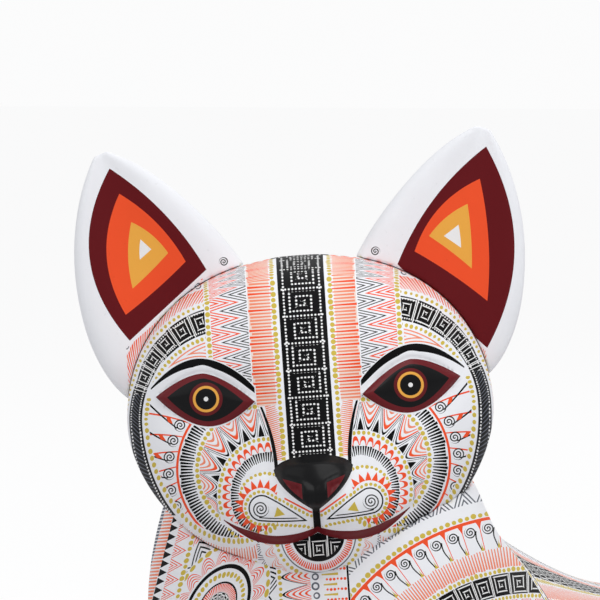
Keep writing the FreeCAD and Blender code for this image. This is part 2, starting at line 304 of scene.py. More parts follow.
def hatch_rule(along, across, pitch, width, length):
    """Short strokes side by side over the row, uneven in length and thinner at one end."""
    steps = along / pitch
    number = steps.math("FLOOR")
    luck = chance(number)
    reach = length * (luck * 0.25 + 0.78) * 0.5
    thin = width * (rise(across / length, -0.5, 0.5) * 0.35 + 0.32)
    return (abs((steps - number - 0.5) * pitch) < thin) & (abs(across) < reach)


dots = motif("Dots", ("Along", "Across", "Pitch", "Radius"), dot_rule)
hatch = motif("Hatch", ("Along", "Across", "Pitch", "Width", "Length"), hatch_rule)


# %% Petals, chevrons and their outlines
def petal_rule(along, across, pitch, height, roundness):
    """Height over a row of petals: 0 at the foot's middle, 1 at the outline. Roundness 1 is a chevron."""
    steps = along / pitch
    sideways = abs((fraction(steps) - 0.5) * 2)
    below = (across < 0.0) * 99.0
    return across / height + sideways ** roundness + below


def outline_rule(level, count, share):
    """Lines at count even levels up to 1, each filling a share of its step."""
    return (fraction(level * count) > (1 - share)) & (level < 1.0)


petal_level = motif("Petal level", ("Along", "Across", "Pitch", "Height", "Roundness"), petal_rule)
outlines = motif("Outlines", ("Level", "Count", "Share"), outline_rule)


# %% Curls
def curl_rule(side, up, radius, gap, width):
    """A spiral line whose arms are a gap apart."""
    away = distance(side, up)
    arms = away / gap - turn(side, up)
    off_line = abs(fraction(arms) - 0.5) * gap
    return (off_line < width * 0.5) & (away < radius)


curl = motif("Curl", ("Side", "Up", "Radius", "Gap", "Width"), curl_rule)


# %% Stepped fret
def square_spiral(along, across, unit, half):
    """A place in its unit, its square ring, which side of the ring, and how far off the spiral's line.

    Every second unit is mirrored.
    """
    steps = along / unit
    number = steps.math("FLOOR")
    odd = fraction(number * 0.5) * 4 - 1
    u = (steps - number - 0.5) * unit
    v = across * odd
    level = larger(abs(u) * (half / (unit * 0.5)), abs(v))
    upright = abs(v) > abs(u) * (half / (unit * 0.5))
    quarter = upright * (v > 0.0) * 0.5 + (~upright) * ((u > 0.0) * 0.5 + 0.25)
    gap = half / 2.5
    arms = level / gap + quarter - 0.35
    return u, v, level, upright, abs(fraction(arms) - 0.5) * gap


def key_rule(along, across, unit, half, width):
    """A square spiral in each unit of a band, in a solid line, with a line between the units."""
    u, _, level, _, off_line = square_spiral(along, across, unit, half)
    return ((off_line < width * 0.5) & (level < half * 0.9)) | (unit * 0.5 - abs(u) < width * 0.5)


def fret_rule(along, across, unit, half, dot):
    """The same in rows of small dots."""
    u, v, level, upright, off_line = square_spiral(along, across, unit, half)
    run = (upright * u + (~upright) * v) / (dot * 1.75)
    off_dot = abs(fraction(run) - 0.5) * dot * 1.75
    spiral = (distance(off_line, off_dot) < dot * 0.56) & (level < half * 0.8)
    cross = v / (dot * 1.75)
    off_cross = abs(fraction(cross) - 0.5) * dot * 1.75
    divider = (distance(unit * 0.5 - abs(u), off_cross) < dot * 0.5) & (abs(v) < half * 1.25)
    return spiral | divider


dotted_fret = motif("Fret", ("Along", "Across", "Unit", "Half", "Dot"), fret_rule)
solid_fret = motif("Key", ("Along", "Across", "Unit", "Half", "Width"), key_rule)
print("motifs:", [group.name for group in bpy.data.node_groups])

# %% [markdown]
# ## Paint
# Workshop colours are opaque and matt: a cold white ground, black, dark red, orange, a mustard yellow and
# a salmon pink. A Coat starts from the ground and lays one colour at a time through a mask, so the order in
# the code is the order of the brush.

# %% Colours and coats
def paint_colour(red, green, blue):
    """A mixed paint as Blender's linear colour, from its 0 to 255 swatch."""
    return tuple((c / 255 / 12.92) if c < 11 else ((c / 255 + 0.055) / 1.055) ** 2.4
                 for c in (red, green, blue)) + (1.0,)


WHITE = paint_colour(238, 239, 243)
BLACK = paint_colour(4, 4, 6)
DARK_RED = paint_colour(98, 18, 24)
WINE = paint_colour(104, 20, 28)
ORANGE = paint_colour(240, 84, 44)
SALMON = paint_colour(238, 140, 110)
MUSTARD = paint_colour(206, 182, 76)
AMBER = paint_colour(236, 170, 72)
GREY = paint_colour(96, 100, 110)
BLUSH = paint_colour(238, 218, 208)
DOT_WHITE = paint_colour(236, 236, 236)
PEG_WOOD = paint_colour(205, 168, 120)
DARK_GRAIN = paint_colour(160, 118, 74)
print("the white ground in linear colour:", [round(c, 3) for c in WHITE])


class Coat:
    """Layers of paint over a ground colour."""

    def __init__(self, tree, ground):
        self.tree, self.ground, self.socket = tree, ground, None

    def lay(self, mask, colour):
        """Covers what is there with a colour where the mask is 1."""
        node = self.tree.nodes.new("ShaderNodeMix")
        node.data_type = "RGBA"
        self.tree.links.new(mask.socket, node.inputs["Factor"])
        if self.socket is None:
            node.inputs[6].default_value = self.ground
        else:
            self.tree.links.new(self.socket, node.inputs[6])
        node.inputs[7].default_value = colour
        self.socket = node.outputs[2]


# %% [markdown]
# ## Handmade ground
# Sanded copal shows faint scraper marks and tiny pits under its paint, and the paint's own thickness
# wavers. One group gives all of it: a shade that dulls or lightens the colour, a roughness, and a height
# for the Bump node.

# %% The ground group
def sawn_noise(tree, vector, scale, detail, stretch):
    """Noise whose grain is longer in one direction."""
    mapping = tree.nodes.new("ShaderNodeMapping")
    mapping.inputs["Scale"].default_value = stretch
    tree.links.new(vector, mapping.inputs["Vector"])
    noise = tree.nodes.new("ShaderNodeTexNoise")
    noise.inputs["Scale"].default_value = scale
    noise.inputs["Detail"].default_value = detail
    tree.links.new(mapping.outputs["Vector"], noise.inputs["Vector"])
    return Field(tree, noise.outputs["Fac"])


def make_ground():
    """Position in, then Shade, Roughness and Height out."""
    group, start, end = new_group("Handmade ground", ("Position",), ("Shade", "Roughness", "Height"),
                                  "NodeSocketVector")
    where = start.outputs["Position"]
    grain = sawn_noise(group, where, 260, 3, (1, 0.12, 1))
    patches = sawn_noise(group, where, 38, 4, (1, 1, 1))
    speckle = sawn_noise(group, where, 1500, 2, (1, 1, 1))
    pits = rise(sawn_noise(group, where, 520, 1, (1, 1, 1)), 0.72, 0.78)
    outputs = {"Shade": 0.955 + patches * 0.07 + speckle * 0.02 - pits * 0.05,
               "Roughness": 0.42 + patches * 0.18 + grain * 0.08,
               "Height": grain * 0.5 + speckle * 0.25 + patches - pits * 0.8}
    for label, field in outputs.items():
        group.links.new(field.socket, end.inputs[label])
    return group


GROUND = make_ground()
LACQUER_WEIGHT, LACQUER_ROUGHNESS = 0.22, 0.22
MATT_SHINE = 0.1                                # opaque workshop paint hardly shines
BUMP_STRENGTH, BUMP_HEIGHT = 0.35, 0.15 * MM
print("ground gives:", [item.name for item in GROUND.interface.items_tree if item.in_out == "OUTPUT"])


def painted(name, pattern):
    """A painted-wood material.

    pattern(coat, position socket) lays the colours, and may return a mask of what is lacquered.
    """
    material = bpy.data.materials.new(name)
    material.use_nodes = True
    tree = material.node_tree
    shader = tree.nodes["Principled BSDF"]
    position = tree.nodes.new("ShaderNodeTexCoord").outputs["Object"]
    coat = Coat(tree, WHITE)
    lacquer = pattern(coat, position)
    if lacquer is not None:
        tree.links.new((lacquer * LACQUER_WEIGHT).socket, shader.inputs["Coat Weight"])
        shader.inputs["Coat Roughness"].default_value = LACQUER_ROUGHNESS
    ground = tree.nodes.new("ShaderNodeGroup")
    ground.node_tree = GROUND
    tree.links.new(position, ground.inputs["Position"])
    shade = tree.nodes.new("ShaderNodeVectorMath")
    shade.operation = "MULTIPLY"
    tree.links.new(coat.socket, shade.inputs[0])
    tree.links.new(ground.outputs["Shade"], shade.inputs[1])
    tree.links.new(shade.outputs["Vector"], shader.inputs["Base Color"])
    tree.links.new(ground.outputs["Roughness"], shader.inputs["Roughness"])
    bump = tree.nodes.new("ShaderNodeBump")
    bump.inputs["Strength"].default_value = BUMP_STRENGTH
    bump.inputs["Distance"].default_value = BUMP_HEIGHT
    tree.links.new(ground.outputs["Height"], bump.inputs["Height"])
    tree.links.new(bump.outputs["Normal"], shader.inputs["Normal"])
    shader.inputs["Specular IOR Level"].default_value = MATT_SHINE
    return material


# %% [markdown]
# ## Where a stroke lies on the face
# A painter lays out a face from straight in front of it, so its eyes, muzzle and bands are drawn
# here in a front view: X is sideways and Z is up from the line through the eyes, in millimetres. Nearer
# parts look a little larger from a metre away, so the view is a mild perspective. The group works it out
# from the position on the wood.

# %% Front view of the face
EYE_LINE = 8.5                     # above the middle of the head block
FRONT_REACH = VIEW_DISTANCE / MM
LEAN_X, LEAN_Z = -1.0, 46.6        # where the front view's axis passes the middle of the head
front_back = (head_back * math.cos(VIEW_RISE) - head_up * math.sin(VIEW_RISE)).normalized()
front_up = head_side.cross(front_back).normalized()


def front_view(x, y, z):
    """Front-view X and Z from millimetres sideways, backward and upward of the head's middle."""
    scale = 1 / (1 + y * (1 / FRONT_REACH))
    return (x - LEAN_X) * scale + LEAN_X, (z - LEAN_Z) * scale + (LEAN_Z - EYE_LINE)


def measured(tree, position, axis, origin):
    """Millimetres along an axis from an origin, as a Field."""
    node = tree.nodes.new("ShaderNodeVectorMath")
    node.operation = "DOT_PRODUCT"
    tree.links.new(position, node.inputs[0])
    node.inputs[1].default_value = axis / MM
    return Field(tree, node.outputs["Value"]) - axis.dot(origin) / MM


def make_face_view():
    """Position in; front-view X, Z and depth out."""
    group, start, end = new_group("Face view", ("Position",), ("X", "Z", "Depth"), "NodeSocketVector")
    where = start.outputs["Position"]
    x, y, z = (measured(group, where, axis, head_centre) for axis in (head_side, front_back, front_up))
    side, up = front_view(x, y, z)
    for label, field in (("X", side), ("Z", up), ("Depth", y)):
        group.links.new(field.socket, end.inputs[label])
    return group


FACE_VIEW = make_face_view()


def seen_from_front(tree, position):
    """X, Z and depth of a place on the wood, as Fields."""
    view = tree.nodes.new("ShaderNodeGroup")
    view.node_tree = FACE_VIEW
    tree.links.new(position, view.inputs["Position"])
    return [Field(tree, view.outputs[label]) for label in ("X", "Z", "Depth")]


print("the view's axis passes the head's middle at", front_view(LEAN_X, 0.0, LEAN_Z))

# %% [markdown]
# ## Shapes that are both carved and painted
# The eyelids, the nose, the mouth and the line under the nose are cut into the wood and then painted to
# their edges. Each shape is one formula of X and Z. It works on arrays, to move the
# mesh, and on Fields, to mask the paint.

# %% Face shapes
EYE_X, EYE_HALF = 42.6, 20.4
EYE_SLANT = 0.115                  # rise of the line between an eye's corners, outwards
NOSE_HALF = 16.6


def eye_level(x, z, rim=0.0):
    """0 on the line between the eye's corners and 1 on the lids, or on a smaller eye inside its rim."""
    across = (abs(x) - EYE_X) * (1 / (EYE_HALF - rim * 2.6))
    outside = smaller(abs(across), 1.0)
    height = z - (abs(x) - EYE_X) * EYE_SLANT + 0.1
    top = (1 - outside ** 1.6) * (10.4 - rim) + 0.01
    bottom = (1 - outside ** 1.85) * (10.9 - rim) + 0.01
    return larger(height / top, height / bottom * -1) + larger(abs(across) - 1.0, 0.0) * 60


def mouth_offset(x, z):
    """Height above the middle of the mouth's line."""
    side = abs(x)
    dip = larger(1 - side * (1 / 15), 0.0) ** 2 * 3.4
    return z + 60.2 - dip - larger(smaller(side, 39.5) - 15.0, 0.0) ** 2 * 0.018


def nose_flank(x, z):
    """How far outside the nose's side a place lies."""
    return abs(x) - NOSE_HALF + larger(z * -1 - 29.0, 0.0) ** 2 * 0.04


def nose_level(x, z):
    """Negative inside the nose's outline."""
    return larger(z + 26.0 + x * x * 0.011 + (x * x * 0.0036) ** 4 * 2.6, nose_flank(x, z))


def nostril_level(x, z):
    """Negative inside a nostril."""
    side = abs(x)
    return larger(larger(z + 34.4 + (14.6 - side) * 0.36, nose_flank(x, z) + 2.2), 5.2 - side)


print("at an eye's middle its level is", round(float(eye_level(EYE_X, 0.0)), 2))

# %% [markdown]
# ## Carving
# A copy of each block is remeshed into even small squares, which is the clay that the fine shapes are
# pushed into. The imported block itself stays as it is, and the carved copy takes its place.

# %% Remeshing a block
def carved_copy(node, square, smoothing):
    """A finely meshed copy of a CAD block, as a new object."""
    source = frame["nodes"][node]
    clay = bpy.data.objects.new(node + "_carving", source.data.copy())
    clay.data.materials.clear()
    bpy.context.collection.objects.link(clay)
    remesh = clay.modifiers.new("even squares", "REMESH")
    remesh.mode, remesh.voxel_size = "VOXEL", square * MM
    soften = clay.modifiers.new("soften", "SMOOTH")
    soften.factor, soften.iterations = 0.5, smoothing
    graph = bpy.context.evaluated_depsgraph_get()
    mesh = bpy.data.meshes.new_from_object(clay.evaluated_get(graph))
    clay.modifiers.clear()
    clay.data = mesh
    mesh.name = node + "_carving"
    mesh.polygons.foreach_set("use_smooth", [True] * len(mesh.polygons))
    print(node, "carving:", len(mesh.polygons), "squares")
    return clay


def put_in_place(piece, node, body):
    """Lets the carving stand for its block, on the same body."""
    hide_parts(node)
    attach(piece, body)


# %% Carving the face
def mound(side, z, centre_side, centre_z, half_side, half_z):
    """1 at the top of an oval mound, falling to 0 at its edge."""
    return larger(1 - ((side - centre_side) / half_side) ** 2 - ((z - centre_z) / half_z) ** 2, 0.0)


def face_relief(x, z):
    """How much the knife leaves standing proud, in millimetres, over the front view."""
    side = abs(x)
    eye = eye_level(x, z)
    relief = (1 - smaller(eye, 1.0) ** 2) * 2.4                      # the eyeball
    relief = relief - rise(abs(eye - 1.07), 0.14, 0.0) * 1.0        # the cut round the lids
    relief = relief - mound(side, z, 40, -1, 27, 17) * 1.6          # the eye's socket
    bridge = rise(side, 19.0, 12.0) * rise(z, 30.0, -8.0)
    relief = relief + bridge * 2.2
    relief = relief + mound(side, z, 17, -47, 20, 15) ** 0.8 * 4.0  # the two whisker pads
    relief = relief - rise(side, 2.8, 0.8) * rise(z, -45.0, -48.0) * rise(z, -60.0, -57.0) * 2.2
    relief = relief + mound(side, z, 0, -68, 24, 9) * 2.6           # the lower lip
    mouth = abs(mouth_offset(x, z))
    relief = relief - rise(mouth, 2.6, 0.7) * rise(side, 42.0, 37.0) * 2.0
    ball = mound(side, z, 0, -35, 21, 16) ** 0.5 * 6.0
    relief = relief + rise(nose_level(x, z), 0.6, -3.0) * ball
    relief = relief - rise(nostril_level(x, z), 0.4, -1.6) * 2.6
    return relief


CHIN_DROP, CHIN_HALF = 3.6, 34     # how far the chin hangs, and half its width
head = carved_copy("head", 1.0, 6)
points = mesh_points(head.data) / MM
local = points - np.array(head_centre) / MM
local_side, back, up = (local @ np.array(axis) for axis in (head_side, front_back, front_up))
face_x, face_z = front_view(local_side, back, up)
facing = rise(-back, 5.0, 25.0)
points -= np.outer(face_relief(face_x, face_z) * facing, np.array(front_back))
chin_drop = CHIN_DROP * larger(1 - (face_x / CHIN_HALF) ** 2, 0.0) * rise(face_z, -54.0, -68.0) * facing
points -= np.outer(chin_drop, np.array(head_up))
head.data.vertices.foreach_set("co", (points * MM).ravel())
head.data.update()
put_in_place(head, "head", "figure")


# %% [markdown]
# ## The face
# The middle of the face is a black fretted band from the nose over the skull, with dots, hatching and
# chevrons in columns beside it. Each cheek is a set of rings. They are all drawn round points near the
# whisker pad, but the larger rings stand higher, so every ring has a centre of its own. A second black
# band sweeps from the brow down the side of the head.

# %% Rows and rings
def ring(side, z, centre_side, centre_z, typical):
    """Distance from a centre, and millimetres round it at a typical radius."""
    off_side, off_up = side - centre_side, z - centre_z
    return distance(off_side, off_up), turn(off_side, off_up) * (2 * math.pi * typical)


def between(value, low, high):
    """A mask of where a value lies between two limits."""
    return (value > low) & (value < high)


def lay_marks(coat, across, where, *marks):
    """Lays rows of one motif each, at their own places across, where the mask allows."""
    for draw, along, centre, sizes, colour in marks:
        coat.lay(draw(along, across - centre, *sizes) & where, colour)


FRET_SIZES = (11.2, 7.0, 0.84)       # unit, half height and dot of the dotted frets
EDGE_DOTS = (1.35, 0.46)             # pitch and radius of the dots along a fretted band
NOSE_TOP = -27.5


def brow_line(x, z):
    """Height above the brow's middle line, and 0 to 1 from its inner to its outer end."""
    across = (abs(x) - 43.4) * (1 / 21.4)
    inside = smaller(abs(across), 1.0)
    return z - (across * 1.75 + 3.95) - (1 - inside ** 1.9) * 11.2, across


def nose_ridge(z):
    """How far the edge of the nose's bridge stands from the middle."""
    return larger(z + 31.0, 0.0) ** 2 * 0.0068 + 15.2


# %% Middle band and its columns
def middle_columns(coat, x, z, side, depth):
    """The fretted band, then dots, hatching, chevrons and dots in columns outwards."""
    climb = z + larger(depth + 34.0, 0.0) * 0.6     # goes on growing where the crown turns over
    forehead = (brow_line(x, z)[0] > 2.2) | (side < 21.5)
    bridge = z < -4.5
    above_nose = z > NOSE_TOP + 0.5
    columns = forehead & (z > NOSE_TOP)
    luck = chance((climb * (1 / 1.37)).math("FLOOR"))
    coat.lay(between(side, 13.4, 22.4) & columns & ~bridge, BLUSH)
    strokes = hatch(climb, side - 17.4, 1.37, 0.72, 10.4) & columns & ~bridge
    coat.lay(strokes, SALMON)
    coat.lay(strokes & (luck > 0.55), ORANGE)
    fine = hatch(z + side * 0.25, side - nose_ridge(z) * 0.5 - 6.1, 0.85, 0.5, 5.4)
    coat.lay(fine & bridge & (z > NOSE_TOP) & (side < nose_ridge(z)), SALMON)
    lay_marks(coat, side, columns, (dots, climb, 11.8, (2.35, 1.0), MUSTARD))
    upper = forehead & (z > 4.0)
    black_level = petal_level(climb, side - 22.9, 6.5, 11.6, 1.0)
    coat.lay(outlines(black_level, 3.0, 0.36) & upper, BLACK)
    orange_level = petal_level(climb + 3.25, 38.2 - side, 6.5, 12.2, 1.0)
    orange_lines = outlines(orange_level, 3.0, 0.45) & upper & (side > 24.0)
    coat.lay(orange_lines, ORANGE)
    coat.lay(dots(climb, side - 39.4, 2.57, 1.0) & upper & (z > 17.0), MUSTARD)
    coat.lay((side < 9.7) & (z > NOSE_TOP - 1.5), BLACK)
    coat.lay(dotted_fret(climb + 2.0, x, *FRET_SIZES) & above_nose, DOT_WHITE)
    lay_marks(coat, side, above_nose, (dots, climb, 7.5, EDGE_DOTS, DOT_WHITE))


# %% Brow and side band
BAND_START = 40.6                    # how far out on the face the side band starts


def band_width(z):
    """The side band is wider higher up."""
    return larger(z - 10.0, 0.0) * 0.17 + 5.4


def side_band(side, z):
    """Distance outside the inner edge of the black side band, and millimetres along it."""
    off_up = larger(z + 9.2, 0.0) + smaller(z + 9.2, 0.0) * 0.7
    away, along = ring(side, off_up, 32.5, 0.0, 42.0)
    return away - 36.9, along


def rows_over_band(coat, along, slant, outside, over):
    """Dots, hatching, a chain and florets outside the side band, up to the ear's hollow."""
    lay_marks(coat, outside, over,
              (dots, along, 1.3, (2.0, 0.55), MUSTARD),
              (hatch, slant, 4.6, (1.1, 0.62, 4.6), SALMON),
              (hatch, slant + 0.5, 4.6, (2.2, 0.5, 4.6), ORANGE))
    link = dots(along, outside - 8.2, 3.0, 1.25) & ~dots(along, outside - 8.2, 3.0, 0.8)
    coat.lay(link & over, GREY)
    floret = petal_level(along, outside - 10.0, 4.4, 3.6, 1.0)
    coat.lay((floret < 0.62) & over, ORANGE)
    lay_marks(coat, outside, over,
              (hatch, along + 2.2, 11.6, (4.4, 0.5, 3.4), MUSTARD),
              (hatch, slant, 17.0, (1.3, 0.6, 5.0), SALMON),
              (dots, along, 21.0, (2.4, 0.8), MUSTARD))


def brow_and_side(coat, x, z, side, depth):
    """The black side band with its fret, the rows over it and the leaf under it."""
    inner, along = side_band(side, z)
    width = band_width(z)
    outside = inner - width
    middle = inner - width * 0.58
    outer = (side > BAND_START) & (depth < -9.0) & (z > -47.0)
    over = outer & (outside > 0.0)
    band = outer & (inner > 0.0) & (outside < 0.0)
    slant = along + inner * 0.9
    rows_over_band(coat, along, slant, outside, over)
    coat.lay(band, BLACK)
    coat.lay(solid_fret(along, middle, 8.6, 4.7, 0.42) & band & (z > 4.0), DOT_WHITE)
    coat.lay(hatch(slant, middle, 1.5, 0.45, 4.6) & band & (z < 4.0), GREY)
    coat.lay(dots(along, inner - 1.1, 1.05, 0.33) & band, DOT_WHITE)
    coat.lay(dots(along, outside + 0.8, 1.05, 0.28) & band, DOT_WHITE)
    brow, across = brow_line(x, z)
    coat.lay(dots(along, inner + 1.7, 2.5, 0.85) & (brow > 1.8) & (side > BAND_START), MUSTARD)
    leaf = smaller(inner * -1 - 3.2, brow - 2.3) * (1 / 4.2)
    in_leaf = (leaf > 0.0) & between(side, 41.0, 58.0) & (z > 6.0)
    coat.lay(in_leaf & outlines(1 - leaf, 3.0, 0.4), SALMON)
    thick = 1.7 - larger(across, 0.0) ** 2 * 1.35 - larger(across * -1 - 0.8, 0.0) ** 2 * 14
    coat.lay((abs(brow) < thick) & (abs(across) < 1.0), BLACK)


# %% Cheek rings
def cheek_rings(coat, x, z, side):
    """Everything between the whisker pad and the side band."""
    mouth = mouth_offset(x, z)
    above_mouth = (mouth > 1.9) | (side > 39.8) | ((side > 25.0) & (mouth < -1.9))
    under_eye = z < (side - EYE_X) * EYE_SLANT - 0.6
    cheek = (side > nose_ridge(z) + 0.9) & (eye_level(x, z) > 1.1) & above_mouth & under_eye
    beyond, beyond_along = side_band(side, z)
    coat.lay(dots(beyond_along, beyond + 1.7, 2.45, 0.85) & (z < 2.0) & cheek, MUSTARD)
    cheek = cheek & (beyond < -2.8)
    away, along = ring(side, z, 22.1, -30.5, 37.5)
    spirals = cheek & (away > 34.6)
    u = from_middle_of_step(along, 6.9)
    coat.lay((abs(u + 3.1 - (away - 34.0) * 0.26) < 0.28) & spirals, ORANGE)
    coat.lay(curl(u, away - 37.6, 2.55, 1.15, 0.5) & spirals, BLACK)
    stem = abs(u - 1.5 + (away - 39.0) * 0.18) < 0.27
    coat.lay(stem & spirals & (away > 38.2), BLACK)
    flower = abs(u - 0.4 + (away - 42.0) * 0.3) * 2.4 + abs(away - 42.6) < 2.0
    coat.lay(flower & spirals, ORANGE)
    coat.lay(between(away, 33.7, 34.7) & cheek, ORANGE)
    coat.lay(hatch(along * (30 / 37.5), away - 30.3, 1.25, 0.78, 6.2) & cheek, BLACK)
    coat.lay(dots(along * (25.9 / 37.5), away - 25.9, 2.3, 0.95) & cheek, MUSTARD)
    inner, inner_along = ring(side, (z + 41.6) * 0.87, 19.2, 0.0, 22.0)
    share = (25.0 - away) / (inner - away + 3.6)
    petals = cheek & (away < 24.9) & (inner > 21.4)
    level = petal_level(inner_along, share, 6.4, 1.0, 1.9)
    coat.lay(outlines(level, 4.0, 0.42) & petals & (level < 0.8), SALMON)
    coat.lay(between(level, 0.68, 0.8) & petals, ORANGE)
    coat.lay(between(level, 0.9, 0.99) & petals, BLACK)
    coat.lay(between(level, 1.14, 1.21) & petals, BLACK)
    notch = petal_level(inner_along + 3.2, 1 - share, 6.4, 1.0, 1.0) < 0.42
    coat.lay(notch & petals, BLACK)
    coat.lay(dots(inner_along * (20.4 / 22), inner - 20.4, 2.05, 0.75) & cheek, MUSTARD)
    arches = cheek & (inner < 19.4)
    arch = petal_level(inner_along * 0.8, inner - 15.9, 3.1, 3.3, 2.8)
    coat.lay(between(arch, 0.52, 1.0) & arches & (inner > 15.9), ORANGE)
    coat.lay(hatch(inner_along * 0.66, inner - 14.0, 1.0, 0.6, 3.8) & cheek, BLACK)
    pad, pad_along = ring(side, z, 20.2, -44.0, 11.8)
    coat.lay(dots(pad_along, pad - 11.7, 2.0, 0.75) & cheek & (inner < 11.9), MUSTARD)


# %% Whisker pad
def whisker_pad(coat, x, z, side):
    """A teardrop that holds a curl, with dots and a toothed sun round it.

    t and n are millimetres down the teardrop's axis and off it.
    """
    mouth = mouth_offset(x, z)
    pad = (mouth > 1.6) & (nose_level(x, z) > 0.6) & (side > 1.6)
    sun, sun_along = ring(side, z, 22.4, -45.9, 8.5)
    off_side, off_up = 22.4 - side, -46.5 - z
    tail_side, tail_up = 0.943, 0.333        # the direction of the teardrop's axis
    t = off_side * tail_side + off_up * tail_up
    n = off_up * tail_side - off_side * tail_up
    tooth = petal_level(sun_along, sun - 7.8, 2.8, 3.7, 0.9)
    coat.lay((tooth < 1.0) & pad & (t < 4.5), ORANGE)
    shrink = smaller(larger(t, 0.0) * (1 / 19.5), 1.0)
    from_middle = distance(n, smaller(t, 0.0))
    ends = pad & (t < 19.5)
    coat.lay(between(from_middle - (1 - shrink) * 4.2, 3.6, 4.3) & pad & (n < 0.0) & (t > 8.0), ORANGE)
    round_end = (t > 0.0) * t + (t < 0.0) * abs(turn(t, n) - 0.5) * 40.0
    coat.lay(dots(round_end, from_middle - 2.4 - (1 - shrink) * 4.4, 1.8, 0.68) & pad, MUSTARD)
    drop = from_middle + shrink ** 1.25 * 5.4
    coat.lay(between(drop, 4.9, 5.5) & ends, BLACK)
    coat.lay(between(drop, 3.75, 4.2) & (t > 0.0) & (n > 0.0) & ends, BLACK)
    coat.lay(curl(side - 22.8, z + 46.8, 3.4, 1.3, 0.5), BLACK)
    coat.lay((abs(n) < (10.0 - t) * 0.55) & (t > 6.0) & (t < 10.0) & pad, MUSTARD)


# %% Chin
def chin(coat, x, z, side):
    """A half disc of fret under the mouth, ringed by hatching, dots and petals, and rows along the jaw."""
    beneath = mouth_offset(x, z) < -1.3
    below = beneath & (side < 25.5)
    away, along = ring(side, z, 0.0, -59.2, 13.0)
    coat.lay((away < 10.9) & below, BLACK)
    coat.lay(solid_fret(x + 3.7, z + 65.0, 7.4, 4.4, 0.46) & (away < 9.6) & below, DOT_WHITE)
    coat.lay(hatch(along, away - 13.2, 0.9, 0.55, 2.8) & below, ORANGE)
    coat.lay(between(away, 15.2, 15.7) & below, GREY)
    coat.lay(dots(along * 1.3, away - 17.4, 2.2, 0.8) & below, MUSTARD)
    petal = petal_level(along * 1.5, away - 19.2, 5.0, 4.0, 2.0)
    coat.lay(outlines(petal, 3.0, 0.35) & below, SALMON)
    petal = petal_level(along * 2.0, away - 24.5, 6.0, 5.5, 1.2)
    coat.lay(outlines(petal, 3.0, 0.4) & below, GREY)
    beyond, beyond_along = side_band(side, z)
    jaw = beneath & between(side, 25.5, 58.0) & (beyond > -0.6) & (z < -47.0)
    lay_marks(coat, beyond, jaw,
              (hatch, beyond_along, 2.2, (1.2, 0.6, 4.2), SALMON),
              (dots, beyond_along, 5.6, (2.3, 0.8), MUSTARD),
              (hatch, beyond_along, 9.4, (1.2, 0.6, 5.4), GREY),
              (hatch, beyond_along, 15.4, (1.2, 0.7, 5.4), ORANGE))


# %% Eyes, nose and mouth
def eyes_nose_mouth(coat, x, z, side):
    """The plain, solid colours, laid last."""
    eye = eye_level(x, z)
    coat.lay((eye < 1.36) & (z > (side - EYE_X) * EYE_SLANT) & (brow_line(x, z)[0] < 0.0), WHITE)
    coat.lay(eye < 1.03, WINE)
    coat.lay(eye_level(x, z, 1.8) < 1.0, BLACK)
    pupil = distance(side - 42.3, z)
    for radius, colour in ((6.9, DARK_RED), (5.45, AMBER), (4.35, BLACK), (0.95, DOT_WHITE)):
        coat.lay(pupil < radius, colour)
    ridge = abs(side - nose_ridge(z)) < rise(z, -2.0, -20.0) * 0.35 + 0.4
    coat.lay(ridge & between(z, -34.0, -4.8), BLACK)
    coat.lay(nose_level(x, z) < 0.0, BLACK)
    coat.lay(nostril_level(x, z) < 0.0, WINE)
    coat.lay((side < 1.5) & between(z, -57.5, -45.0), BLACK)
    lips = 1.2 + rise(side, 0.0, 12.0) * 0.6 - rise(side, 28.0, 38.5) * 1.6
    coat.lay((abs(mouth_offset(x, z)) < lips) & (side < 38.5), WINE)


# %% [markdown]
# ## Rows of pattern
# Away from the face the painter fills the wood with rows laid side by side, the same few kinds in a
# changing order. A plan is a list of rows, each with its kind, its width and its colour, and repeats
# until the surface is full.

# %% Kinds of row
def link_row(along, middle, width):
    """A chain of small rings."""
    chain = dots(along, middle, width * 1.15, width * 0.5)
    return chain & ~dots(along, middle, width * 1.15, width * 0.28)


CURL_PITCH = 0.62                    # spacing of the curls, as a share of their row's width


def curl_row(along, middle, width):
    """Curls side by side, each on a stem that sways inwards."""
    u = from_middle_of_step(along, width * CURL_PITCH)
    inwards = middle + width * 0.22
    sway = (inwards * (6.0 / width)).math("SINE") * (width * 0.05)
    stem = (abs(u - width * 0.16 + sway) < 0.27) & (inwards > 0.0)
    return curl(-u - width * 0.04, inwards, width * 0.2, width * 0.09, 0.5) | stem


def spike_row(along, middle, width):
    """Thin spikes at the feet of the curls' stems."""
    from_foot = width / 2 - middle
    return petal_level(along + width * 0.38, from_foot, width * CURL_PITCH, width * 0.7, 0.45) < 0.5


def fang_row(along, middle, width):
    """Fangs between the curls, each running on into a thin line."""
    pitch = width * CURL_PITCH
    steps = along / pitch
    thread = abs(steps - (steps + 0.5).math("FLOOR")) * pitch < 0.17
    return (petal_level(along + pitch / 2, middle + width / 2, pitch, width * 0.75, 0.5) < 0.55) | thread


def nested_row(along, middle, width, roundness, count):
    """Petals or chevrons, each drawn in several lines, one inside the next."""
    level = petal_level(along, middle + width / 2, width * 1.05, width, roundness)
    return outlines(level, count, 0.4)


